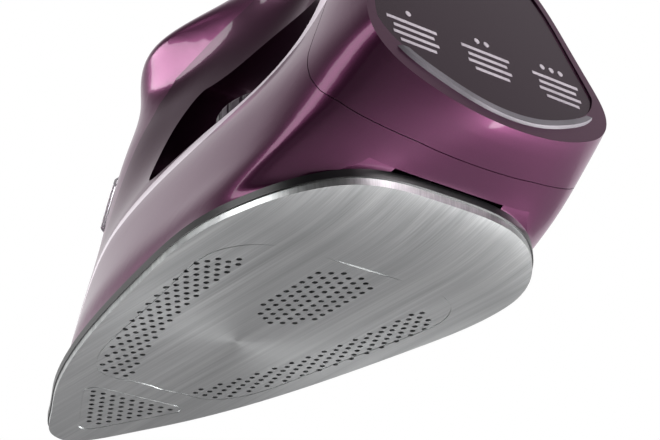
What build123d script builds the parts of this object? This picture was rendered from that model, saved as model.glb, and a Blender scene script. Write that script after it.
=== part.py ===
from build123d import *
import os
from math import asin, cos, radians, sin, sqrt, tan

# A household steam iron: steam soleplate, heater, water tank, closed handle and a heel to stand on.
# +X points to the tip, +Y to the user's left, +Z up; the origin lies on the flat face of the sole.
# All sizes are in millimetres.

# ---- soleplate -------------------------------------------------------------------------------
SOLE_LENGTH = 232.4
SOLE_WIDTH = 125.8
ORIGIN_FROM_REAR = 112.0
SOLE_THICK = 2.4
ROLL_LIFT = 6.0
ROLL_LENGTH = 37.0
HOLE_DIAMETER = 2.05
HOLE_PITCH = 4.4
GROOVE_WIDTH = 0.6
GROOVE_DEPTH = 0.3

# ---- heights of the body ----------------------------------------------------------------------
RIM_THICK = 2.6
RIM_OVERHANG = 0.5
RIM_WIDTH = 5.0
HEEL_EDGE_Z = 22.0
SHOULDER_LOW_Z = 46.0
SHOULDER_TOP_Z = 58.0
DECK_Z = 66.0
GRIP_UNDER_Z = 96.0
GRIP_DEPTH = 33.0

# ---- walls and fits ---------------------------------------------------------------------------
WALL = 2.4
TANK_WALL = 1.6
GAP = 0.4
SEAM_GAP = 0.35
SLIDE_FIT = 0.05
SCREW_DIAMETER = 3.0
SCREW_HEAD = 5.6

# ---- heel -------------------------------------------------------------------------------------
HEEL_TILT = 16.0
HEEL_X = -144.2
HEEL_BEZEL = 2.6
HEEL_FRAME_DEPTH = 7.0
PANEL_THICK = 1.6
FOOT_HEIGHT = 1.2
LEGEND_THICK = 0.15
DOT_DIAMETER = 2.2

# ---- heater -----------------------------------------------------------------------------------
CASTING_HEIGHT = 11.0
CASTING_MARGIN = 9.0
ELEMENT_DIAMETER = 6.6
COVER_THICK = 1.0
GASKET_THICK = 0.8
SHIELD_GAP = 3.0
SHIELD_THICK = 2.0

# ---- controls ---------------------------------------------------------------------------------
DIAL_DIAMETER = 52.0
DIAL_HEIGHT = 10.0
DIAL_X = -30.0
SPINDLE_DIAMETER = 6.0
BUTTON_LENGTH = 15.0
BUTTON_WIDTH = 10.0
BUTTON_RISE = 8.5
BUTTON_TRAVEL = 4.0
BUTTON_SPACING = 12.6
BUTTON_SETBACK = 15.0
STEM_DIAMETER = 5.0
PUMP_DIAMETER = 11.0
PUMP_HEIGHT = 17.0
PUMP_WALL = 1.4
SPRING_WIRE = 0.7
SPRING_TURNS = 5
SELECTOR_LENGTH = 14.0
SELECTOR_WIDTH = 10.0
SELECTOR_RISE = 3.0
SELECTOR_STEM = 4.0
SELECTOR_TRAVEL = 10.0
SELECTOR_SETBACK = 52.0
NEEDLE_DIAMETER = 2.6
THERMOSTAT_DIAMETER = 22.0
THERMOSTAT_HEIGHT = 9.0
DOOR_WIDTH = 22.0
DOOR_HEIGHT = 17.0
DOOR_THICK = 2.0
DOOR_LOW_Z = 73.0
HINGE_PIN_DIAMETER = 1.8
HINGE_BARREL_DIAMETER = 3.2
HINGE_KNUCKLE_HALF = 2.0
HINGE_HALF_WIDTH = 4.6
NOZZLE_Z = 56.0
NOZZLE_DIAMETER = 7.0

# ---- cord entry -------------------------------------------------------------------------------
SWIVEL_DIAMETER = 20.0
SWIVEL_HEIGHT = 13.0
SWIVEL_SWING = 30.0
CORD_BORE = 7.5
GLAND_DIAMETER = 11.0
GLAND_LENGTH = 22.0
ENTRY_Z = 110.5

HALF_WIDTH = SOLE_WIDTH / 2
REAR_SHARE = 0.15
REAR_SHIFT = 1.0
REAR_FACTOR = 1.6
TOP_Z = GRIP_UNDER_Z + GRIP_DEPTH - 1.0
HEEL_SLOPE = tan(radians(HEEL_TILT))


# ================================================================= shared geometry
def station(fraction):
    """X at a fraction of the sole's length, 0 at its rear edge and 1 at its tip."""
    return fraction * SOLE_LENGTH - ORIGIN_FROM_REAR


def breadth(fraction):
    """Y at a fraction of the sole's greatest half width."""
    return fraction * HALF_WIDTH


def outline(points, z, inset=0.0):
    """Closed plan face through points on the left side, from the tip (first) to the rear (last)."""
    last = len(points) - 1
    path = []
    for index, (along, across) in enumerate(points):
        x = station(along)
        y = breadth(across)
        if index == 0:
            x -= 1.3 * inset
        elif index == 1:
            x -= inset
            y -= 0.6 * inset
        elif index == last:
            x += REAR_FACTOR * inset
        else:
            y = max(y - inset, 0.4 * y)
            x += REAR_SHIFT * inset * max(0.0, 1 - along / REAR_SHARE)
        path.append((x, y, z))
    path += [(x, -y, z) for x, y, z in reversed(path[1:-1])]
    return Face(Wire([Spline(*path, periodic=True)]))


SOLE_PLAN = ((1.0, 0.0), (0.985, 0.118), (0.925, 0.264), (0.834, 0.446), (0.705, 0.641),
             (0.381, 0.930), (0.207, 1.0), (0.092, 0.890), (0.026, 0.640), (0.0, 0.0))

# Plan sections of the outer skin, from the rim to the handle's top: height, then the left side.
SKIN = (
    (2.0, ((0.996, 0), (0.981, 0.116), (0.921, 0.260), (0.703, 0.632), (0.380, 0.918),
           (0.205, 0.985), (0.088, 0.872), (0.022, 0.62), (0.004, 0))),
    (11.0, ((0.972, 0), (0.958, 0.115), (0.900, 0.252), (0.690, 0.612), (0.374, 0.890),
            (0.196, 0.962), (0.080, 0.872), (0.006, 0.60), (-0.014, 0))),
    (HEEL_EDGE_Z, ((0.951, 0), (0.938, 0.115), (0.884, 0.244), (0.679, 0.590), (0.372, 0.855),
                   (0.150, 0.920), (-0.010, 0.850), (-0.125, 0.47), (-0.170, 0))),
    (34.0, ((0.921, 0), (0.908, 0.115), (0.858, 0.236), (0.662, 0.555), (0.372, 0.790),
            (0.140, 0.872), (-0.050, 0.850), (-0.140, 0.70), (-0.190, 0))),
    (SHOULDER_LOW_Z, ((0.890, 0), (0.878, 0.115), (0.832, 0.228), (0.645, 0.516), (0.370, 0.716),
                      (0.138, 0.812), (-0.050, 0.842), (-0.150, 0.76), (-0.200, 0))),
    (SHOULDER_TOP_Z, ((0.858, 0), (0.846, 0.116), (0.802, 0.222), (0.620, 0.440), (0.361, 0.596),
                      (0.138, 0.700), (-0.050, 0.790), (-0.150, 0.72), (-0.200, 0))),
    (72.0, ((0.824, 0), (0.812, 0.118), (0.772, 0.220), (0.600, 0.360), (0.353, 0.425),
            (0.130, 0.560), (-0.045, 0.725), (-0.140, 0.67), (-0.195, 0))),
    (GRIP_UNDER_Z, ((0.758, 0), (0.747, 0.120), (0.712, 0.216), (0.568, 0.282), (0.331, 0.262),
                    (0.130, 0.370), (-0.020, 0.600), (-0.120, 0.50), (-0.170, 0))),
    (GRIP_UNDER_Z + 17.0, ((0.712, 0), (0.702, 0.120), (0.668, 0.218), (0.525, 0.300),
                           (0.331, 0.298), (0.130, 0.350), (0.000, 0.450), (-0.100, 0.36),
                           (-0.150, 0))),
    (TOP_Z, ((0.662, 0), (0.653, 0.085), (0.620, 0.150), (0.516, 0.205), (0.331, 0.196),
             (0.130, 0.220), (0.010, 0.290), (-0.070, 0.22), (-0.110, 0))),
)


def skin_form(inset=0.0, low=0.0):
    """Solid body inside the outer skin, or inside its inner face when inset by the wall."""
    faces = []
    for height, points in SKIN:
        level = height
        if height == TOP_Z:
            level = height - inset
        if height == SKIN[0][0]:
            level = height - low
        faces.append(outline(points, level, inset))
    return Part() + loft(faces)


def side_prism(points, width=90.0):
    """Prism across the whole body whose outline is drawn in the XZ plane."""
    edge = Wire.make_polygon([Vector(x, 0, z) for x, z in points], close=True)
    return Part() + extrude(Face(edge), width, dir=(0, 1, 0), both=True)


def heel_x(z):
    """X of the leaning heel plane at a height."""
    return HEEL_X + (z - HEEL_EDGE_Z) * HEEL_SLOPE


def behind_heel(offset):
    """Everything behind the heel plane moved forward by offset along its normal."""
    shift = offset / cos(radians(HEEL_TILT))
    low = heel_x(-40) + shift
    high = heel_x(200) + shift
    return side_prism(((low, -40), (high, 200), (-400, 200), (-400, -40)))


def rolled_strip(low, high, margin=30.0):
    """Layer between two heights above the sole's face, rolled up at the rear."""
    radius = (ROLL_LENGTH ** 2 + ROLL_LIFT ** 2) / (2 * ROLL_LIFT)
    start = station(0) + ROLL_LENGTH
    centre = Vector(start, 0, radius)
    end_angle = radians(-90) - asin((ROLL_LENGTH + 4.0) / radius)

    def arc(level, turn):
        reach = radius - level
        return centre + Vector(reach * cos(turn), 0, reach * sin(turn))

    mid_angle = (radians(-90) + end_angle) / 2
    front = station(1) + margin
    edges = [
        Line((front, 0, low), arc(low, radians(-90))),
        ThreePointArc(arc(low, radians(-90)), arc(low, mid_angle), arc(low, end_angle)),
        Line(arc(low, end_angle), arc(high, end_angle)),
        ThreePointArc(arc(high, end_angle), arc(high, mid_angle), arc(high, radians(-90))),
        Line(arc(high, radians(-90)), (front, 0, high)),
        Line((front, 0, high), (front, 0, low)),
    ]
    return Part() + extrude(Face(Wire(edges)), 120, dir=(0, 1, 0), both=True)


def slab(points, low, high, inset=0.0):
    """Flat plate of a plan outline between two heights."""
    return Part() + extrude(outline(points, low, inset), high - low, dir=(0, 0, 1))


def post(x, y, low, high, diameter):
    """Upright cylinder."""
    return Part() + Pos(x, y, (low + high) / 2) * Cylinder(diameter / 2, high - low)


def block(low, high):
    """Box between two corners."""
    size = [b - a for a, b in zip(low, high)]
    middle = [(a + b) / 2 for a, b in zip(low, high)]
    return Part() + Pos(*middle) * Box(*size)


# ================================================================= steam holes of the sole
def side_band_holes():
    """Curved band of holes along each flank: seven rows that fan out towards the tip."""
    spots = []
    for column in range(18):
        step = column - 5
        outer_x = 4.22 + 1.568 * step + 0.0097 * step * step
        inner_x = outer_x + 4.79 + 0.068 * step
        outer_y = 11.55 - 0.0083 * outer_x ** 2
        inner_y = 8.72 - 0.0086 * inner_x ** 2
        for row in range(7):
            share = row / 6
            x = outer_x + (inner_x - outer_x) * share
            y = outer_y + (inner_y - outer_y) * share
            if 1.6 + 0.2 * (6 - row) < x < 25.9:
                spots.append((x, y))
                spots.append((x, -y))
    return spots


def centre_holes():
    """Oval patch of close-packed holes on the centre line."""
    counts = {0: (0.0, 11), 1: (-0.5, 11), 2: (0.0, 10), 3: (0.5, 8)}
    spots = []
    for line in range(-3, 4):
        first, count = counts[abs(line)]
        for index in range(count):
            spots.append((first + index, line * sqrt(3) / 2))
    return spots


def tip_holes():
    """Triangle of close-packed holes behind the tip."""
    spots = []
    for row in range(8):
        count = 9 - row
        for index in range(count):
            spots.append((29.8 + row * sqrt(3) / 2, index - (count - 1) / 2))
    return spots


def hole_places():
    """All hole centres on the sole, in millimetres."""
    grid_origin = station(0.2238)
    spots = side_band_holes() + centre_holes() + tip_holes()
    return [(grid_origin + HOLE_PITCH * x, HOLE_PITCH * y) for x, y in spots]


def field_outline(inset=0.0):
    """Contour around the main field of holes."""
    points = ((0.722, 0.0), (0.721, 0.20), (0.718, 0.38), (0.690, 0.50), (0.578, 0.636), (0.345, 0.792),
              (0.258, 0.808), (0.212, 0.70), (0.187, 0.28), (0.184, 0.0))
    return outline(points, 0, inset)


def tip_outline(inset=0.0):
    """Rounded triangle around the holes behind the tip."""
    base = station(0.768) + inset
    half = breadth(0.40) - 1.6 * inset
    corners = ((base, half), (station(0.957) - 2.2 * inset, 0), (base, -half))
    return make_face(FilletPolyline(*corners, radius=4.5, close=True))


def groove(contour):
    """Fine engraved line along a contour on the sole's face."""
    return Part() + extrude(contour() - contour(GROOVE_WIDTH), GROOVE_DEPTH, dir=(0, 0, 1))


# ================================================================= sole and heater
CASTING_TOP = SOLE_THICK + CASTING_HEIGHT
CASTING_REAR = station(0) + ROLL_LENGTH + 2.0
ELEMENT_Z = SOLE_THICK + ELEMENT_DIAMETER / 2 + 0.6
COVER_TOP = CASTING_TOP + GASKET_THICK + COVER_THICK
SHIELD_Z = COVER_TOP + SHIELD_GAP
ELEMENT_REAR = CASTING_REAR + 14.0
ELEMENT_Y = breadth(0.52)
NEEDLE_X = station(0.67)
SLEEVE_DIAMETER = NEEDLE_DIAMETER + 4.0
TANK_LOW_Z = SHIELD_Z + SHIELD_THICK + 2.2
TANK_TOP_Z = SHOULDER_LOW_Z + 6.0


def soleplate():
    """Aluminium sheet with the steam holes, two engraved contours and a rolled-up rear."""
    plate = slab(SOLE_PLAN, -1, 30) & rolled_strip(0, SOLE_THICK)
    plate -= [Pos(x, y, 0) * Cylinder(HOLE_DIAMETER / 2, 3 * SOLE_THICK) for x, y in hole_places()]
    return plate - groove(field_outline) - groove(tip_outline)


def casting_plan(low, high, margin, rear_gap=0.0, front_gap=0.0):
    """Plate that follows the sole's outline but ends square at the rear."""
    plate = slab(SOLE_PLAN, low, high, margin)
    front = station(1) - margin - front_gap
    return plate & block((CASTING_REAR + rear_gap, -HALF_WIDTH, low), (front, HALF_WIDTH, high))


def heating_element():
    """Sheathed U-shaped element with its two cold ends turned up at the rear."""
    turn = (station(0.60), breadth(0.46))
    corners = ((ELEMENT_REAR, ELEMENT_Y), turn, (station(0.80), 0), (turn[0], -turn[1]),
               (ELEMENT_REAR, -ELEMENT_Y))
    path = FilletPolyline(*[(x, y, ELEMENT_Z) for x, y in corners], radius=9.0)
    tube = Part() + sweep(Plane(origin=path @ 0, z_dir=path % 0) * Circle(ELEMENT_DIAMETER / 2), path)
    for side in (1, -1):
        tube += post(ELEMENT_REAR, side * ELEMENT_Y, ELEMENT_Z, COVER_TOP + 1.5, ELEMENT_DIAMETER)
    return tube


def heater_casting(element):
    """Cast aluminium body of the heater: chamber on top, element in its floor, four bosses."""
    casting = casting_plan(SOLE_THICK, CASTING_TOP, CASTING_MARGIN)
    chamber = casting_plan(CASTING_TOP - 2.0, CASTING_TOP + 1, CASTING_MARGIN + 8.0, 24.0, 28.0)
    return casting - chamber - element


def chamber_layer(low, high, open_centre):
    """Gasket or cover on the casting."""
    layer = casting_plan(low, high, CASTING_MARGIN + 4.0, 20.0, 22.0)
    if open_centre:
        layer -= casting_plan(low - 1, high + 1, CASTING_MARGIN + 8.0, 24.0, 28.0)
    for x, y in frame_screw_places():
        layer -= post(x, y, low - 1, high + 1, 8.0)
    return layer


def rim_ring():
    """Black heat-proof ring between the sole sheet and the skirt."""
    ring = slab(SOLE_PLAN, -1, 30, -RIM_OVERHANG) - slab(SOLE_PLAN, -2, 31, RIM_WIDTH)
    return ring & rolled_strip(SOLE_THICK, SOLE_THICK + RIM_THICK)


def heat_shield():
    """Plastic deck over the heater, on four feet; its edge meets the skirt's inner wall."""
    top = SHIELD_Z + SHIELD_THICK
    front = station(0.93)
    plate = skin_form(WALL + 0.3) & block((CASTING_REAR, -HALF_WIDTH, SHIELD_Z), (front, HALF_WIDTH, top))
    for x, y in frame_screw_places():
        plate += post(x, y, CASTING_TOP, SHIELD_Z + 0.5, 7.0)
        plate -= post(x, y, CASTING_TOP - 1, top + 1, SCREW_DIAMETER)
    plate -= post(DIAL_X, 0, SHIELD_Z - 1, top + 1, THERMOSTAT_DIAMETER + 2)
    plate -= post(NEEDLE_X, 0, SHIELD_Z - 1, top + 1, SLEEVE_DIAMETER)
    for side in (1, -1):
        plate -= post(ELEMENT_REAR, side * ELEMENT_Y, SHIELD_Z - 1, top + 1, ELEMENT_DIAMETER + 2)
    return plate


def frame_screw_places():
    """Centres of the screws that hold the heat shield to the casting."""
    return ((CASTING_REAR + 7.0, breadth(0.60)), (CASTING_REAR + 7.0, -breadth(0.60)),
            (station(0.72), breadth(0.36)), (station(0.72), -breadth(0.36)))


def frame_screws():
    """Pan-head screws through the feet of the heat shield."""
    group = []
    top = SHIELD_Z + SHIELD_THICK
    for x, y in frame_screw_places():
        shank = post(x, y, CASTING_TOP, top, SCREW_DIAMETER - 0.1)
        group.append(shank + post(x, y, top, top + 2.0, SCREW_HEAD))
    return group


# ================================================================= outer skin
STRIP_LOW = ((1.06, 17.0), (0.93, 20.5), (0.78, 32.0), (0.62, 43.0), (0.45, 46.5), (0.28, 49.0),
             (0.16, 53.0), (0.07, 61.0), (-0.02, 78.0), (-0.08, 100.0))
STRIP_HIGH = ((1.06, 21.0), (0.93, 25.5), (0.78, 38.5), (0.62, 51.0), (0.45, 57.0), (0.34, 60.5),
              (0.24, 66.0), (0.17, 75.0), (0.11, 92.0), (0.07, 112.0))
TRIM_LINE = ((0.98, -10.0), (0.86, 36.0), (0.775, 60.0), (0.705, 77.0), (0.645, 93.0), (0.596, 104.0),
             (0.545, 109.5), (0.44, 112.6), (0.30, 116.4), (0.10, 118.5), (-0.10, 120.0))
REAR_SEAM = ((-0.068, -10.0), (-0.064, 15.0), (-0.038, 24.0), (-0.016, 29.4), (0.001, 35.7),
             (0.011, 41.6), (0.016, 47.0), (0.018, 120.0))
GAP_LINE = ((0.455, GRIP_UNDER_Z - 1.0), (0.330, GRIP_UNDER_Z), (0.195, GRIP_UNDER_Z + 1.0),
            (0.125, GRIP_UNDER_Z - 5.0), (0.110, GRIP_UNDER_Z - 17.0), (0.150, DECK_Z + 1.0),
            (0.330, DECK_Z - 1.0), (0.500, DECK_Z - 2.0), (0.565, DECK_Z + 2.0),
            (0.555, DECK_Z + 12.0), (0.510, GRIP_UNDER_Z - 6.0))


def along_side(points):
    """XZ points from fractions of the length and heights."""
    return [(station(share), z) for share, z in points]


def hand_gap(grow=0.0):
    """Saddle-shaped opening for the fingers; it flares towards both sides."""
    def ring(y, extra):
        middle_x = station(0.335)
        middle_z = (GRIP_UNDER_Z + DECK_Z) / 2
        spots = []
        for x, z in along_side(GAP_LINE):
            reach = sqrt((x - middle_x) ** 2 + (z - middle_z) ** 2)
            factor = (reach + extra) / reach
            spots.append((middle_x + (x - middle_x) * factor, y, middle_z + (z - middle_z) * factor))
        return Face(Wire([Spline(*spots, periodic=True)]))
    half = 45.0
    return Part() + loft([ring(-half, grow + 9.0), ring(0, grow), ring(half, grow + 9.0)])


def region(lower, upper):
    """Prism between two side lines that share their direction from tip to rear."""
    return side_prism(along_side(lower) + list(reversed(along_side(upper))))


def above(line, ceiling=260.0):
    """Everything above a side line."""
    return region(line, ((line[0][0], ceiling), (line[-1][0], ceiling)))


def largest(shape):
    """The main solid of a cut, without loose offcuts."""
    return Part() + max(shape.solids(), key=lambda solid: solid.volume)


def skin_shells():
    """The moulded outer pieces, all cut from one hollow skin."""
    outer = BODY_FORM - behind_heel(HEEL_FRAME_DEPTH) - rolled_strip(-60, SOLE_THICK + RIM_THICK)
    shell = outer - (INNER_FORM - hand_gap(WALL))
    far = station(1.3)
    back = station(-0.5)
    strip_low = ((1.2, 17.0),) + STRIP_LOW + ((-0.4, 110.0),)
    below_strip = region(((1.2, -20), (-0.4, -20)), strip_low)
    top = above(TRIM_LINE)
    above_strip = above(((1.2, 21.0),) + STRIP_HIGH + ((0.06, 300.0),))
    strip = (shell & region(STRIP_LOW, STRIP_HIGH)) - top
    upper = (shell & above_strip) - top
    middle = block((REAR_SPLIT, -90, GRIP_SPLIT), (FRONT_SPLIT, 90, 200))
    deck = block((REAR_SPLIT, -90, 0), (FRONT_SPLIT, 90, GRIP_SPLIT))
    front = block((FRONT_SPLIT, -90, 0), (far, 90, 200))
    deck_cover = (upper & deck) - post(DIAL_X, 0, DECK_Z - 20, DECK_Z + 9, SPINDLE_DIAMETER + 2 * GAP)
    trim = (shell & top) - button_slots() - selector_slot() - inlet_mouth() - nozzle_hole()
    trim = trim - lens_seat() + hinge_knuckle()
    window = entry_window()
    rear_column = largest(upper & block((back, -90, 0), (REAR_SPLIT, 90, 200)))
    skirt = (shell & below_strip) - top
    behind_seam = along_side(REAR_SEAM) + [(station(-0.5), 120.0), (station(-0.5), -10.0)]
    ahead_of_seam = [(x + SEAM_GAP, z) for x, z in along_side(REAR_SEAM)]
    ahead_of_seam += [(station(1.3), 120.0), (station(1.3), -10.0)]
    return {
        "lower_skirt": largest(skirt & side_prism(ahead_of_seam)),
        "rear_cover": largest(skirt & side_prism(behind_seam)),
        "accent_strip_left": largest(strip & block((back, 0, -50), (far, 120, 300))),
        "accent_strip_right": largest(strip & block((back, -120, -50), (far, 0, 300))),
        "deck_cover": largest(deck_cover),
        "front_column": largest(upper & front),
        "handle_grip": largest(upper & middle),
        "rear_column": rear_column - window,
        "handle_top_trim": largest(trim - window),
    }


FRONT_SPLIT = station(0.50)
REAR_SPLIT = station(0.17)
GRIP_SPLIT = (GRIP_UNDER_Z + DECK_Z) / 2


# ================================================================= heel
def heel_plane(z, offset=0.0):
    """Plane of the heel at a height: x runs left, y up the heel and z forward into the body."""
    normal = Vector(cos(radians(HEEL_TILT)), 0, -sin(radians(HEEL_TILT)))
    return Plane(origin=Vector(heel_x(z), 0, z) + normal * offset, x_dir=(0, 1, 0), z_dir=normal)


def heel_layer(form, near, far):
    """Slice of a form between two depths in front of the heel plane."""
    return (form & behind_heel(far)) - behind_heel(near)


PANEL_TOP_Z = 99.0
PANEL_RECESS = 0.6
PANEL_DROP = 7.0


def heel_frame():
    """Rounded ring that closes the rear: a bezel, a ledge for the panel and a roof above it."""
    inner = skin_form(HEEL_BEZEL)
    ledge = skin_form(HEEL_BEZEL + 2.0)
    low = block((-400, -90, -50), (200, 90, PANEL_TOP_Z))
    frame = heel_layer(BODY_FORM, 0, HEEL_FRAME_DEPTH)
    frame -= heel_layer(inner & low & raised(inner, PANEL_DROP), -1, PANEL_RECESS + PANEL_THICK)
    frame -= heel_layer(ledge & low & raised(ledge, PANEL_DROP + 3.0), -1, HEEL_FRAME_DEPTH + 1)
    frame -= heel_layer(foot_form(), -1, FOOT_HEIGHT)
    return largest(frame - entry_window())


def raised(form, height):
    """The same form moved up."""
    return Pos(0, 0, height) * form


def foot_form():
    """Crescent between the bezel and the panel where the heel rests."""
    form = skin_form(HEEL_BEZEL)
    crescent = (form & raised(form, 2.4)) - raised(form, 5.2)
    return crescent - block((-400, -90, 38.0), (200, 90, 200))


def heel_foot():
    """Grey crescent foot, a little proud of the heel."""
    return largest(heel_layer(foot_form(), -FOOT_HEIGHT, FOOT_HEIGHT))


def heel_panel():
    """Dark glossy panel set into the heel."""
    form = skin_form(HEEL_BEZEL)
    panel = form & raised(form, PANEL_DROP) & block((-400, -90, -50), (200, 90, PANEL_TOP_Z))
    return largest(heel_layer(panel, PANEL_RECESS, PANEL_RECESS + PANEL_THICK))


def heel_legend():
    """Printed key of the dial: one, two and three dots, each over four short bars."""
    marks = []
    pitch = 31.7
    for count, across in ((1, pitch), (2, 0.0), (3, -pitch)):
        for index in range(count):
            y = across + (index - (count - 1) / 2) * 4.2
            marks.append(heel_mark(Circle(DOT_DIAMETER / 2), y, LEGEND_Z))
        for line, length in enumerate((21.0, 17.0, 19.0, 15.0)):
            bar = Rectangle(length, 1.2)
            marks.append(heel_mark(bar, across, LEGEND_Z - 4.6 - 3.1 * line))
    return marks


LEGEND_Z = 56.6


def heel_mark(sketch, y, z):
    """One raised print mark on the panel."""
    plane = heel_plane(z, PANEL_RECESS)
    placed = plane * Pos(y, 0, 0) * sketch
    return Part() + extrude(placed, LEGEND_THICK, dir=-plane.z_dir)


# ================================================================= cord entry
ENTRY_X = heel_x(ENTRY_Z) + SWIVEL_DIAMETER / 2 + 1.5


def entry_window():
    """Room for the swivelling barrel and the swing of its sleeve."""
    half = SWIVEL_HEIGHT / 2 + GAP
    barrel = post(ENTRY_X, 0, ENTRY_Z - half, ENTRY_Z + half, SWIVEL_DIAMETER + 2 * GAP)
    height = GLAND_DIAMETER / 2 + 1.0
    swing = radians(SWIVEL_SWING)
    near = height / cos(swing)
    depth = 1.6 * GLAND_LENGTH
    far = near + depth * tan(swing)
    corners = ((0, near), (-depth, far), (-depth, -far), (0, -near))
    face = make_face(Polyline(*[(ENTRY_X + x, y, ENTRY_Z - height) for x, y in corners], close=True))
    return barrel + extrude(face, 2 * height, dir=(0, 0, 1))


def cord_gland():
    """Swivelling barrel with a sleeve; the bore takes the supply cord."""
    barrel = post(ENTRY_X, 0, ENTRY_Z - SWIVEL_HEIGHT / 2, ENTRY_Z + SWIVEL_HEIGHT / 2, SWIVEL_DIAMETER)
    start = Plane(origin=(ENTRY_X, 0, ENTRY_Z), z_dir=(-1, 0, 0))
    sleeve = extrude(start * Circle(GLAND_DIAMETER / 2), GLAND_LENGTH)
    bore = extrude(start * Circle(CORD_BORE / 2), 2 * GLAND_LENGTH, both=True)
    gland = barrel + sleeve - bore
    for index in range(3):
        x = ENTRY_X - SWIVEL_DIAMETER / 2 - 2.5 - 3.2 * index
        rib = Plane(origin=(x, 0, ENTRY_Z), z_dir=(-1, 0, 0))
        gland -= extrude(rib * (Circle(GLAND_DIAMETER) - Circle(GLAND_DIAMETER / 2 - 0.8)), 1.4)
    return largest(gland)


def swivel_cradle():
    """Two cheeks inside the handle that hold the barrel above and below."""
    cheeks = []
    for side in (1, -1):
        near = ENTRY_Z + side * (SWIVEL_HEIGHT / 2 + GAP)
        low, high = sorted((near, near + side * 2.0))
        limit = block((ENTRY_X - 4, -40, low), (ENTRY_X + 16, 40, high))
        cheeks.append((INNER_FORM & limit) - behind_heel(HEEL_FRAME_DEPTH))
    return cheeks


# ================================================================= water
def water_tank():
    """Hollow tank under the front column, with a filler hole and a sleeve for the needle."""
    limits = ((TANK_REAR_X, TANK_LOW_Z, TANK_TOP_Z), (TANK_REAR_X + TANK_WALL, TANK_LOW_Z + TANK_WALL,
              TANK_TOP_Z - TANK_WALL))
    shells = []
    for inset, (rear, low, high) in zip((WALL + 0.3, WALL + 0.3 + TANK_WALL), limits):
        front = station(0.90) - (rear - TANK_REAR_X)
        shells.append(skin_form(inset) & block((rear, -HALF_WIDTH, low), (front, HALF_WIDTH, high)))
    tank = shells[0] - shells[1]
    tank += post(NEEDLE_X, 0, TANK_LOW_Z, TANK_TOP_Z, SLEEVE_DIAMETER)
    tank -= post(NEEDLE_X, 0, TANK_LOW_Z - 1, TANK_TOP_Z + 1, NEEDLE_DIAMETER + 2 * GAP)
    tank -= block((FUNNEL_X + 2, -5, TANK_TOP_Z - 2 * TANK_WALL), (FUNNEL_X + 16, 5, TANK_TOP_Z + 1))
    return largest(tank)


TANK_REAR_X = station(0.42)
FUNNEL_X = station(0.70)
FUNNEL_HALF = DOOR_WIDTH / 2 - 3.0
MOUTH_LOW_Z = DOOR_LOW_Z + 3.0
MOUTH_TOP_Z = DOOR_LOW_Z + DOOR_HEIGHT - 3.0


def inlet_mouth(grow=0.0):
    """Filler opening through the front of the nose."""
    half = FUNNEL_HALF - 1.5 + grow
    return block((FUNNEL_X + 2, -half, MOUTH_LOW_Z - grow), (station(1.1), half, MOUTH_TOP_Z + grow))


def inlet_funnel():
    """Duct from the filler mouth down to the tank."""
    neck = station(0.78)
    outer = block((FUNNEL_X, -FUNNEL_HALF, TANK_TOP_Z), (neck, FUNNEL_HALF, MOUTH_TOP_Z + 1.5))
    outer += block((FUNNEL_X, -FUNNEL_HALF, MOUTH_LOW_Z - 1.5), (station(1.1), FUNNEL_HALF,
                                                              MOUTH_TOP_Z + 1.5))
    half = FUNNEL_HALF - 1.5
    drop = block((FUNNEL_X + 2, -half, TANK_TOP_Z - 1), (neck - 1.5, half, MOUTH_TOP_Z))
    return largest((outer & INNER_FORM) - drop - inlet_mouth())


DOOR_PIN_X = station(0.824 - (DOOR_LOW_Z - 72.0) * 0.066 / 24.0) + GAP + DOOR_THICK
DOOR_PIN_Z = DOOR_LOW_Z - 0.2


def hinge_rod(low, high, diameter):
    """Rod along the door's hinge axis between two Y values."""
    plane = Plane(origin=(DOOR_PIN_X, low, DOOR_PIN_Z), z_dir=(0, 1, 0))
    return Part() + extrude(plane * Circle(diameter / 2), high - low)


def hinge_knuckle():
    """Web and eye on the nose that carry the door's hinge pin."""
    half = HINGE_KNUCKLE_HALF
    radius = HINGE_BARREL_DIAMETER / 2
    web = block((DOOR_PIN_X - 4.2, -half, DOOR_PIN_Z - radius), (DOOR_PIN_X, half, DOOR_PIN_Z))
    eye = web + hinge_rod(-half, half, HINGE_BARREL_DIAMETER)
    return eye - hinge_rod(-half - 1, half + 1, HINGE_PIN_DIAMETER + 2 * SLIDE_FIT)


def hinge_pin():
    """Steel pin of the filler door."""
    return hinge_rod(-HINGE_HALF_WIDTH, HINGE_HALF_WIDTH, HINGE_PIN_DIAMETER)


def inlet_door():
    """Clear cover over the filler mouth, with two lugs around its hinge pin."""
    skin = skin_form(-GAP - DOOR_THICK) - skin_form(-GAP)
    plate = largest(skin & block((0, -DOOR_WIDTH / 2, DOOR_LOW_Z),
                                 (station(1.1), DOOR_WIDTH / 2, DOOR_LOW_Z + DOOR_HEIGHT)))
    half = HINGE_KNUCKLE_HALF + GAP
    edge = HINGE_HALF_WIDTH
    plate += hinge_rod(half, edge, HINGE_BARREL_DIAMETER)
    plate += hinge_rod(-edge, -half, HINGE_BARREL_DIAMETER)
    plate -= hinge_rod(-half, half, HINGE_BARREL_DIAMETER + 2 * GAP)
    return largest(plate - hinge_rod(-edge - 1, edge + 1, HINGE_PIN_DIAMETER + 2 * SLIDE_FIT))


# ================================================================= controls
BUTTON_X = station(0.662) - BUTTON_SETBACK
SELECTOR_X = station(0.662) - SELECTOR_SETBACK
BUTTON_LOW_Z = TOP_Z - 7.0
PUMP_TOP_Z = BUTTON_LOW_Z - 8.0
PUMP_LOW_Z = PUMP_TOP_Z - PUMP_HEIGHT


def pill(x, y, length, width, low, high):
    """Upright prism with rounded ends."""
    face = Pos(x, y, low) * SlotOverall(length, width)
    return Part() + extrude(face, high - low, dir=(0, 0, 1))


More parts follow.
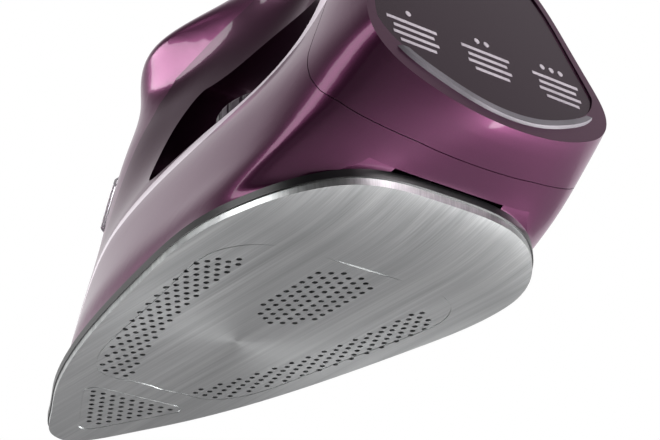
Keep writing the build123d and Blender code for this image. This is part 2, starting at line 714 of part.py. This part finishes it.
def button_slots():
    """Openings in the trim for both push buttons."""
    slots = []
    for side in (1, -1):
        y = side * BUTTON_SPACING / 2
        size = (BUTTON_LENGTH + 2 * GAP, BUTTON_WIDTH + 2 * GAP)
        slots.append(pill(BUTTON_X, y, *size, TOP_Z - 20, TOP_Z + 9))
    return slots


def push_button(side):
    """Domed push button with a flange under the trim and a stem to its pump."""
    y = side * BUTTON_SPACING / 2
    cap = pill(BUTTON_X, y, BUTTON_LENGTH, BUTTON_WIDTH, BUTTON_LOW_Z, TOP_Z + BUTTON_RISE)
    cap = fillet(cap.edges().group_by(Axis.Z)[-1], 2.4)
    return cap + post(BUTTON_X, y, PUMP_TOP_Z - 2.0, BUTTON_LOW_Z, STEM_DIAMETER)


def pump_piston(side):
    """Piston that rides on the button's stem."""
    y = side * BUTTON_SPACING / 2
    bore = PUMP_DIAMETER - 2 * PUMP_WALL
    return post(BUTTON_X, y, PUMP_TOP_Z - 8.0, PUMP_TOP_Z - 2.0, bore - 2 * SLIDE_FIT)


def pump_cylinder(side):
    """Cup-shaped pump cylinder."""
    y = side * BUTTON_SPACING / 2
    cup = post(BUTTON_X, y, PUMP_LOW_Z, PUMP_TOP_Z, PUMP_DIAMETER)
    return cup - post(BUTTON_X, y, PUMP_LOW_Z + PUMP_WALL, PUMP_TOP_Z + 1, PUMP_DIAMETER - 2 * PUMP_WALL)


def pump_bracket():
    """Shelf across the front column that both pumps stand on."""
    return INNER_FORM & block((BUTTON_X - 12, -40, PUMP_LOW_Z - 2.0), (BUTTON_X + 12, 40, PUMP_LOW_Z))


def return_spring(side):
    """Coil spring between the pump's rim and the button."""
    y = side * BUTTON_SPACING / 2
    radius = PUMP_DIAMETER / 2 - 1.2
    height = BUTTON_LOW_Z - PUMP_TOP_Z - SPRING_WIRE - 0.1
    coil = Helix(pitch=height / SPRING_TURNS, height=height, radius=radius)
    coil = Pos(BUTTON_X, y, PUMP_TOP_Z + SPRING_WIRE / 2 + 0.05) * coil
    section = Plane(origin=coil @ 0, z_dir=coil % 0) * Circle(SPRING_WIRE / 2)
    return Part() + sweep(section, coil)


def selector_slot():
    """Slot in the trim for the steam selector's stem."""
    middle = SELECTOR_X + SELECTOR_TRAVEL / 2
    length = SELECTOR_STEM + SELECTOR_TRAVEL + 2 * GAP
    return pill(middle, 0, length, SELECTOR_STEM + 2 * GAP, TOP_Z - 20, TOP_Z + 5)


def steam_selector():
    """Sliding knob of the steam control, held by a foot under the trim."""
    low = TOP_Z + GAP
    knob = pill(SELECTOR_X, 0, SELECTOR_LENGTH, SELECTOR_WIDTH, low, low + SELECTOR_RISE)
    knob = fillet(knob.edges().group_by(Axis.Z)[-1], 1.2)
    knob += post(SELECTOR_X, 0, TOP_Z - WALL - 3.0, low, SELECTOR_STEM)
    return knob + post(SELECTOR_X, 0, TOP_Z - WALL - 3.0, TOP_Z - WALL - GAP, SELECTOR_STEM + 4.0)


def steam_needle():
    """Needle that meters water from the tank into the chamber."""
    tip = COVER_TOP + 1.0
    needle = post(NEEDLE_X, 0, tip + 4.0, TANK_TOP_Z + 30.0, NEEDLE_DIAMETER)
    cone = Pos(NEEDLE_X, 0, tip + 2.0) * Cone(0.5, NEEDLE_DIAMETER / 2, 4.0)
    return needle + cone + post(NEEDLE_X, 0, TANK_TOP_Z + 26.0, TANK_TOP_Z + 30.0, 6.0)


DIAL_LOW_Z = DECK_Z - 0.4


def temperature_dial():
    """Round dial under the handle with a rim of finger grooves."""
    dial = post(DIAL_X, 0, DIAL_LOW_Z, DIAL_LOW_Z + DIAL_HEIGHT, DIAL_DIAMETER)
    dial = fillet(dial.edges().group_by(Axis.Z)[-1], 2.0)
    for index in range(24):
        turn = radians(15 * index)
        reach = DIAL_DIAMETER / 2 + 0.9
        x = DIAL_X + reach * cos(turn)
        y = reach * sin(turn)
        dial -= post(x, y, DIAL_LOW_Z - 1, DIAL_LOW_Z + DIAL_HEIGHT + 1, 3.6)
    return dial


def dial_spindle():
    """Shaft from the dial down to the thermostat."""
    return post(DIAL_X, 0, THERMOSTAT_TOP_Z, DIAL_LOW_Z, SPINDLE_DIAMETER)


THERMOSTAT_TOP_Z = COVER_TOP + THERMOSTAT_HEIGHT


def thermostat():
    """Bimetal thermostat on the chamber cover."""
    can = post(DIAL_X, 0, COVER_TOP, THERMOSTAT_TOP_Z - GAP, THERMOSTAT_DIAMETER)
    return fillet(can.edges().group_by(Axis.Z)[-1], 1.5)


def thermal_fuse():
    """Fuse capsule clamped on the casting behind the chamber."""
    x = CASTING_REAR + 8.0
    saddle = block((x - 3, -9, CASTING_TOP), (x + 3, 9, CASTING_TOP + 1.2))
    capsule = Pos(x, 0, CASTING_TOP + 2.4) * Rot(90, 0, 0) * Cylinder(2.0, 16)
    return saddle + capsule


def terminal_block():
    """Ceramic terminal block on the back of the heel panel."""
    plane = heel_plane(TERMINAL_Z, PANEL_RECESS + PANEL_THICK)
    return Part() + extrude(plane * Rectangle(30, 14), 11, dir=plane.z_dir)


TERMINAL_Z = 70.0


def lens_seat(grow=GAP / 4):
    """Seat of the pilot lamp in the trim."""
    return pill(LENS_X, 0, 10 + 2 * grow, 5 + 2 * grow, TOP_Z - 15, TOP_Z + 3)


LENS_X = station(0.12)


def pilot_lens():
    """Red window of the pilot lamp."""
    lens = pill(LENS_X, 0, 10, 5, TOP_Z - WALL, TOP_Z + 0.8)
    return fillet(lens.edges().group_by(Axis.Z)[-1], 0.6)


def nozzle_x():
    """X of the nose's ridge at the nozzle's height."""
    share = (NOZZLE_Z - SHOULDER_LOW_Z) / (SHOULDER_TOP_Z - SHOULDER_LOW_Z)
    return station(0.890 + (0.858 - 0.890) * share)


def nozzle_hole():
    """Hole for the spray nozzle in the nose."""
    return nozzle_shape(NOZZLE_DIAMETER, -12.0, 8.0)


def nozzle_shape(diameter, start, end):
    """Cylinder along X at the nozzle's place."""
    plane = Plane(origin=(nozzle_x() + start, 0, NOZZLE_Z), z_dir=(1, 0, 0))
    return Part() + extrude(plane * Circle(diameter / 2), end - start)


def spray_nozzle():
    """Spray nozzle: a barrel with a collar outside and a fine bore."""
    nozzle = nozzle_shape(NOZZLE_DIAMETER, -9.0, 1.6) - nozzle_shape(1.0, -10.0, 5.0)
    return nozzle - nozzle_shape(4.0, 0.8, 5.0)


# ================================================================= all nodes
BODY_FORM = skin_form() - hand_gap()
INNER_FORM = skin_form(WALL)


def build():
    """Every node of the iron by name; a list holds separate solids of one node."""
    element = heating_element()
    nodes = {
        "soleplate": soleplate(),
        "heating_element": element,
        "heater_casting": heater_casting(element),
        "chamber_gasket": chamber_layer(CASTING_TOP, CASTING_TOP + GASKET_THICK, True),
        "chamber_cover": chamber_layer(CASTING_TOP + GASKET_THICK, COVER_TOP, False),
        "rim_ring": rim_ring(),
        "heat_shield": heat_shield(),
        "frame_screws": frame_screws(),
        "heel_frame": heel_frame(),
        "heel_panel": heel_panel(),
        "heel_foot": heel_foot(),
        "heel_legend": heel_legend(),
        "cord_gland": cord_gland(),
        "swivel_cradle": swivel_cradle(),
        "water_tank": water_tank(),
        "inlet_funnel": inlet_funnel(),
        "inlet_door": inlet_door(),
        "hinge_pin": hinge_pin(),
        "spray_button": push_button(1),
        "steam_button": push_button(-1),
        "spray_piston": pump_piston(1),
        "steam_piston": pump_piston(-1),
        "spray_pump": pump_cylinder(1),
        "steam_pump": pump_cylinder(-1),
        "pump_bracket": pump_bracket(),
        "spray_spring": return_spring(1),
        "steam_spring": return_spring(-1),
        "steam_selector": steam_selector(),
        "steam_needle": steam_needle(),
        "temperature_dial": temperature_dial(),
        "dial_spindle": dial_spindle(),
        "thermostat": thermostat(),
        "thermal_fuse": thermal_fuse(),
        "terminal_block": terminal_block(),
        "pilot_lens": pilot_lens(),
        "spray_nozzle": spray_nozzle(),
    }
    nodes.update(skin_shells())
    return nodes


def export_all(nodes):
    """One STEP file for each node."""
    os.makedirs("parts", exist_ok=True)
    for name, shape in nodes.items():
        if isinstance(shape, list):
            solids = [solid for item in shape for solid in item.solids()]
            shape = Compound(children=solids)
        export_step(shape, f"parts/{name}.step")


export_all(build())
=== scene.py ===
from math import cos, pi, radians, sin

import bpy
from mathutils import Matrix, Vector


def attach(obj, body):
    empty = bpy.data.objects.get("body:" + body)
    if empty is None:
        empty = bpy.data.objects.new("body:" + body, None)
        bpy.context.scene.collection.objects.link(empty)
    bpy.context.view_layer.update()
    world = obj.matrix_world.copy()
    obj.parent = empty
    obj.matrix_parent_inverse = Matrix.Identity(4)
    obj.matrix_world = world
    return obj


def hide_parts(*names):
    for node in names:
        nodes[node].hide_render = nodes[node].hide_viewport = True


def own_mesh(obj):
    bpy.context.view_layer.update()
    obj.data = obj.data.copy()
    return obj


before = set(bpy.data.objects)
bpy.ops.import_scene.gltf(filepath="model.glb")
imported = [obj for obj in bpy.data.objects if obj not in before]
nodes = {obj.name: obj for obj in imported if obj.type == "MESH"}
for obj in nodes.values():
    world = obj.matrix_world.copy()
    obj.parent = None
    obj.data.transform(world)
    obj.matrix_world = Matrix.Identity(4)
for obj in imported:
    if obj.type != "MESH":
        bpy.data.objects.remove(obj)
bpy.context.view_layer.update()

# The room: a pale floor far below, soft studio light from large panels, and the camera close
# under the iron's rear left, looking up at the sole. The lacquered plastics need both bright
# panels and a dim side to reflect, or they would look flat.
scene = bpy.context.scene


def srgb(code):
    """Linear colour of an sRGB hex code."""
    parts = [int(code[i:i + 2], 16) / 255 for i in (0, 2, 4)]
    return tuple(((v + 0.055) / 1.055) ** 2.4 if v > 0.04045 else v / 12.92 for v in parts) + (1.0,)


def add(tree, kind, settings=None, **inputs):
    """Adds one node, with its settings, and its inputs as values or as links from other nodes."""
    made = tree.nodes.new(kind)
    for key, value in (settings or {}).items():
        setattr(made, key, value)
    for key, value in inputs.items():
        name = key.replace("_", " ")
        socket = made.inputs[int(key[1:])] if key[1:].isdigit() else made.inputs[name]
        if isinstance(value, bpy.types.NodeSocket):
            tree.links.new(value, socket)
        else:
            socket.default_value = value
    return made


def finish(name):
    """An empty material and its surface shader."""
    material = bpy.data.materials.new(name)
    material.use_nodes = True
    tree = material.node_tree
    return material, tree, tree.nodes["Principled BSDF"]


def ramp(tree, factor, stops):
    """Colour ramp through (place, hex) stops."""
    made = add(tree, "ShaderNodeValToRGB", Fac=factor)
    band = made.color_ramp
    while len(band.elements) < len(stops):
        band.elements.new(0.5)
    for element, (place, code) in zip(band.elements, stops):
        element.position = place
        element.color = srgb(code)
    return made


CAMERA_PLACE = Vector((-0.5674, 0.4325, -0.3094))
heading, rise, roll = radians(39.99), radians(26.47), radians(-2.97)
level = Vector((cos(heading), -sin(heading), 0.0))
view_line = level * cos(rise) + Vector((0, 0, sin(rise)))
side = level.cross(Vector((0, 0, 1)))
up = side.cross(view_line)
right = side * cos(roll) + up * sin(roll)
upright = up * cos(roll) - side * sin(roll)
camera_data = bpy.data.cameras.new("studio_camera")
camera_data.lens = 117.8
camera_data.sensor_width = 36.0
camera_data.clip_start = 0.01
camera = bpy.data.objects.new("studio_camera", camera_data)
scene.collection.objects.link(camera)
turn = Matrix((right, upright, -view_line)).transposed()
camera.matrix_world = Matrix.Translation(CAMERA_PLACE) @ turn.to_4x4()
scene.camera = camera

floor_mesh = bpy.data.meshes.new("studio_floor")
reach = 6.0
floor_mesh.from_pydata([(-reach, -reach, -0.8), (reach, -reach, -0.8), (reach, reach, -0.8),
                        (-reach, reach, -0.8)], [], [(0, 1, 2, 3)])
floor = bpy.data.objects.new("studio_floor", floor_mesh)
scene.collection.objects.link(floor)
pale, tree, shader = finish("pale_floor")
shader.inputs["Base Color"].default_value = srgb("E4E2E4")
shader.inputs["Roughness"].default_value = 0.9
floor_mesh.materials.append(pale)

world = bpy.data.worlds.new("studio_surround")
world.use_nodes = True
scene.world = world
tree = world.node_tree
place = add(tree, "ShaderNodeTexCoord").outputs["Generated"]
toward = add(tree, "ShaderNodeVectorMath", {"operation": "DOT_PRODUCT"}, i0=place, i1=view_line)
share = add(tree, "ShaderNodeMapRange", i0=toward.outputs["Value"], i1=-1.0)
surround = ramp(tree, share.outputs[0],
                ((0.0, "222122"), (0.5, "2C2B2C"), (0.7, "969696"), (0.88, "F0F0F0")))
seen = add(tree, "ShaderNodeLightPath").outputs["Is Camera Ray"]
backdrop = add(tree, "ShaderNodeMix", {"data_type": "RGBA"}, i0=seen, i6=surround.outputs["Color"],
               i7=srgb("FFFFFF"))
tree.nodes["Background"].inputs["Strength"].default_value = 1.0
tree.links.new(backdrop.outputs[2], tree.nodes["Background"].inputs["Color"])
scene.view_settings.view_transform = "Standard"


def panel(name, place, aim, size, power):
    """Soft rectangular studio light facing a point."""
    data = bpy.data.lights.new(name, "AREA")
    data.shape = "RECTANGLE"
    data.size, data.size_y = size
    data.energy = power
    lamp = bpy.data.objects.new(name, data)
    scene.collection.objects.link(lamp)
    spot = Vector(place)
    facing = (Vector(aim) - spot).to_track_quat("-Z", "Y")
    lamp.matrix_world = Matrix.Translation(spot) @ facing.to_matrix().to_4x4()


centre = (0.0, 0.0, 0.05)
panel("panel_below", (-0.30, -0.55, -0.60), centre, (0.5, 1.1), 26.0)
panel("panel_left", (0.10, 1.1, 0.45), centre, (0.9, 0.35), 5.0)
panel("panel_rear", (-1.2, -0.35, 0.10), centre, (0.5, 0.35), 8.0)
panel("panel_nose", (1.0, 0.80, -0.10), centre, (0.5, 0.9), 14.0)


def dress(material, *names):
    """Gives CAD nodes their material."""
    for name in names:
        mesh = nodes[name].data
        mesh.materials.clear()
        mesh.materials.append(material)


# Soleplate: anodised aluminium sheet, brushed lengthwise and then sealed, rolled up at the heel.
# The brushing spreads each highlight along the iron and leaves fine parallel lines, which are drawn
# 0.4 mm apart because the real ones, under 0.1 mm, are too fine to show.
BRUSH_LINE = 0.0004
sole_metal, tree, shader = finish("brushed_anodised_aluminium")
place = add(tree, "ShaderNodeTexCoord").outputs["Object"]
stretch = add(tree, "ShaderNodeMapping", Vector=place, Scale=(12.0, 1 / BRUSH_LINE, 200.0))
lines = add(tree, "ShaderNodeTexNoise", Vector=stretch.outputs["Vector"], Scale=1.0, Detail=4.0)
broad = add(tree, "ShaderNodeMapping", Vector=place, Scale=(5.0, 260.0, 100.0))
bands = add(tree, "ShaderNodeTexNoise", Vector=broad.outputs["Vector"], Scale=1.0, Detail=3.0)
tone = ramp(tree, bands.outputs["Fac"], ((0.3, "B4B6B6"), (0.5, "BFC1C1"), (0.7, "CACCCB")))
fine = ramp(tree, lines.outputs["Fac"], ((0.3, "C4C4C4"), (0.7, "FFFFFF")))
mixed = add(tree, "ShaderNodeMix", {"data_type": "RGBA", "blend_type": "MULTIPLY"}, i0=0.55,
            i6=tone.outputs["Color"], i7=fine.outputs["Color"])
tree.links.new(mixed.outputs[2], shader.inputs["Base Color"])
rough = add(tree, "ShaderNodeMapRange", i0=lines.outputs["Fac"], i3=0.24, i4=0.42)
tree.links.new(rough.outputs[0], shader.inputs["Roughness"])
bump = add(tree, "ShaderNodeBump", Strength=0.1, Distance=0.00004, Height=lines.outputs["Fac"])
tree.links.new(bump.outputs["Normal"], shader.inputs["Normal"])
shader.inputs["Metallic"].default_value = 1.0
shader.inputs["Anisotropic"].default_value = 0.6
dress(sole_metal, "soleplate")


# Heater: a die-cast aluminium body with a grey, slightly grainy skin; the tube element is cast in.
def cast_metal(name, dark, light, grain, roughness):
    """Grainy metal with two tones."""
    material, tree, shader = finish(name)
    place = add(tree, "ShaderNodeTexCoord").outputs["Object"]
    noise = add(tree, "ShaderNodeTexNoise", Vector=place, Scale=1 / grain, Detail=5.0)
    tone = ramp(tree, noise.outputs["Fac"], ((0.3, dark), (0.7, light)))
    tree.links.new(tone.outputs["Color"], shader.inputs["Base Color"])
    bump = add(tree, "ShaderNodeBump", Strength=0.3, Distance=grain / 10, Height=noise.outputs["Fac"])
    tree.links.new(bump.outputs["Normal"], shader.inputs["Normal"])
    shader.inputs["Metallic"].default_value = 1.0
    shader.inputs["Roughness"].default_value = roughness
    return material


dress(cast_metal("die_cast_aluminium", "3C3C3E", "5A5A5C", 0.0008, 0.6), "heater_casting")
dress(cast_metal("element_sheath", "6E6A64", "8C8880", 0.0012, 0.4), "heating_element")
dress(cast_metal("pressed_steel", "8F9193", "B0B2B4", 0.003, 0.35), "chamber_cover", "thermostat")
dress(cast_metal("plated_screw_steel", "A9ABAD", "C9CBCC", 0.002, 0.28),
      "frame_screws", "steam_needle", "hinge_pin")


# Rim, frame and buttons: black glass-filled plastic, moulded with a fine spark-eroded grain that
# breaks the highlight into a soft satin.
def grained_plastic(name, dark, light, grain, roughness, depth=0.00003):
    """Moulded plastic with a fine grain, two close tones and uneven gloss."""
    material, tree, shader = finish(name)
    place = add(tree, "ShaderNodeTexCoord").outputs["Object"]
    noise = add(tree, "ShaderNodeTexNoise", Vector=place, Scale=1 / grain, Detail=3.0)
    cloud = add(tree, "ShaderNodeTexNoise", Vector=place, Scale=60.0, Detail=2.0)
    tone = ramp(tree, cloud.outputs["Fac"], ((0.3, dark), (0.7, light)))
    tree.links.new(tone.outputs["Color"], shader.inputs["Base Color"])
    spread = add(tree, "ShaderNodeMapRange", i0=noise.outputs["Fac"], i3=roughness * 0.85,
                 i4=roughness * 1.15)
    tree.links.new(spread.outputs[0], shader.inputs["Roughness"])
    bump = add(tree, "ShaderNodeBump", Strength=0.4, Distance=depth, Height=noise.outputs["Fac"])
    tree.links.new(bump.outputs["Normal"], shader.inputs["Normal"])
    return material


black = grained_plastic("black_moulded_pbt", "0B0A0B", "161417", 0.0005, 0.34)
dress(black, "rim_ring", "heat_shield", "cord_gland", "swivel_cradle", "spray_nozzle",
      "spray_button", "steam_button", "steam_selector")
white = grained_plastic("natural_acetal", "DEDBD2", "ECEAE2", 0.0006, 0.4)
dress(white, "spray_pump", "steam_pump", "spray_piston", "steam_piston", "pump_bracket",
      "dial_spindle", "thermal_fuse")
dress(grained_plastic("glazed_steatite", "E2DFD5", "F2EFE6", 0.0015, 0.2), "terminal_block")
dress(grained_plastic("silicone_rubber", "9C3B26", "B5482E", 0.0008, 0.6), "chamber_gasket")
dress(grained_plastic("grey_foot_rubber", "5C585E", "767178", 0.0006, 0.5), "heel_foot")
dress(grained_plastic("dark_dial_abs", "241B22", "342832", 0.0005, 0.3), "temperature_dial")
dress(grained_plastic("pad_print_ink", "B9AFB8", "CBC2CA", 0.0004, 0.45), "heel_legend")


# Body shells: ABS with a mica pearl lacquer under a hard, wet-looking gloss.
# Where the surface curves away the plum turns pink: a painted sheen, a lighter base colour.
def pearl_lacquer(name, deep, face, glancing_sheen, roughness=0.16, flake=0.00025, metal=0.85):
    """Pearl lacquer: a deep colour seen straight on and a lighter one at a glance, the lighter one a
    painted sheen.
    """
    material, tree, shader = finish(name)
    place = add(tree, "ShaderNodeTexCoord").outputs["Object"]
    glance = add(tree, "ShaderNodeLayerWeight", Blend=0.42)
    # The last stop is a painted sheen: faces seen at a glance get a lighter base colour.
    tone = ramp(tree, glance.outputs["Facing"], ((0.0, deep), (0.45, face), (1.0, glancing_sheen)))
    mica = add(tree, "ShaderNodeTexNoise", Vector=place, Scale=1 / flake, Detail=2.0)
    speck = ramp(tree, mica.outputs["Fac"], ((0.35, "D8D0D6"), (0.65, "FFFFFF")))
    mixed = add(tree, "ShaderNodeMix", {"data_type": "RGBA", "blend_type": "MULTIPLY"}, i0=0.5,
                i6=tone.outputs["Color"], i7=speck.outputs["Color"])
    tree.links.new(mixed.outputs[2], shader.inputs["Base Color"])
    peel = add(tree, "ShaderNodeTexNoise", Vector=place, Scale=220.0, Detail=1.0)
    bump = add(tree, "ShaderNodeBump", Strength=0.06, Distance=0.0001, Height=peel.outputs["Fac"])
    tree.links.new(bump.outputs["Normal"], shader.inputs["Coat Normal"])
    shader.inputs["Metallic"].default_value = metal
    shader.inputs["Roughness"].default_value = roughness + 0.12
    shader.inputs["Coat Weight"].default_value = 0.3
    shader.inputs["Coat Roughness"].default_value = 0.04
    return material


plum = pearl_lacquer("plum_pearl_lacquer", "401632", "5A2B4A", "845876")
# A darker copy of the plum lacquer, painted shade for the parts in the handle's hollow and at the
# rear.
shaded_plum = pearl_lacquer("shaded_plum_pearl_lacquer", "260A1E", "38142C", "6E3E5E")
lavender = pearl_lacquer("lavender_pearl_lacquer", "DCC8D8", "E6D6E3", "F0E6EE", 0.35, metal=0.0)
dress(plum, "lower_skirt", "rear_cover", "heel_frame", "handle_top_trim")
# Front column, grip, rear column and deck cover take the darker plum copy as painted shade.
dress(shaded_plum, "front_column", "handle_grip", "rear_column", "deck_cover")
dress(lavender, "accent_strip_left", "accent_strip_right")
dress(pearl_lacquer("smoked_heel_gloss", "2C1224", "36192D", "54344A", 0.1), "heel_panel")


# Clear pieces: polycarbonate, moulded thin; the tank is tinted so that the water level shows.
def clear_plastic(name, tint, cover, roughness):
    """Clear tinted plastic that hides part of what lies behind."""
    material, tree, shader = finish(name)
    place = add(tree, "ShaderNodeTexCoord").outputs["Object"]
    cloud = add(tree, "ShaderNodeTexNoise", Vector=place, Scale=90.0, Detail=2.0)
    spread = add(tree, "ShaderNodeMapRange", i0=cloud.outputs["Fac"], i3=roughness, i4=roughness * 2)
    tree.links.new(spread.outputs[0], shader.inputs["Roughness"])
    shader.inputs["Base Color"].default_value = srgb(tint)
    shader.inputs["IOR"].default_value = 1.58
    shader.inputs["Transmission Weight"].default_value = cover
    return material


dress(clear_plastic("tinted_polycarbonate", "B48FAE", 0.6, 0.1), "water_tank", "inlet_funnel")
dress(clear_plastic("clear_polycarbonate", "F2ECF2", 0.85, 0.04), "inlet_door")
dress(clear_plastic("red_lens", "C8261C", 0.6, 0.08), "pilot_lens")


# Return springs: steel wire wound into open coils. Each stands on its pump's rim around the button's
# stem, and the button presses it down to half its height.
WIRE = 0.0007
COIL_RADIUS = 0.0043
TURNS = 5
SPRING_LOW = 0.113
SPRING_FREE = 0.008
SEAT_GAP = 0.00005
BUTTON_X = 0.0268488
BUTTON_Y = 0.0063
STEPS = 36 * TURNS
SIDES = 8


def wound_wire(across):
    """Vertices and faces of one coil, centred on its button."""
    rise = SPRING_FREE - WIRE - 2 * SEAT_GAP
    points = []
    for step in range(STEPS + 1):
        angle = 2 * pi * TURNS * step / STEPS
        height = SPRING_LOW + WIRE / 2 + SEAT_GAP + rise * step / STEPS
        middle = Vector((BUTTON_X, across, height))
        out = Vector((cos(angle), sin(angle), 0))
        for corner in range(SIDES):
            around = 2 * pi * corner / SIDES
            lift = Vector((0, 0, WIRE / 2 * sin(around)))
            points.append(middle + out * (COIL_RADIUS + WIRE / 2 * cos(around)) + lift)
    faces = []
    for step in range(STEPS):
        for corner in range(SIDES):
            near = step * SIDES + corner
            beside = step * SIDES + (corner + 1) % SIDES
            faces.append((near, near + SIDES, beside + SIDES, beside))
    faces.append(tuple(range(SIDES)))
    faces.append(tuple(reversed(range(STEPS * SIDES, (STEPS + 1) * SIDES))))
    return points, faces


spring_steel = cast_metal("spring_steel", "A9ABAD", "C9CBCC", 0.002, 0.28)
for name, joint, across in (("spray_spring", "spray_press", BUTTON_Y),
                            ("steam_spring", "steam_press", -BUTTON_Y)):
    points, faces = wound_wire(across)
    wire = bpy.data.meshes.new("wound_" + name)
    wire.from_pydata(points, [], faces)
    wire.polygons.foreach_set("use_smooth", [True] * len(faces))
    wire.materials.append(spring_steel)
    spring = bpy.data.objects.new("wound_" + name, wire)
    scene.collection.objects.link(spring)
    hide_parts(name)
    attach(spring, "iron_body")
    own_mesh(spring)
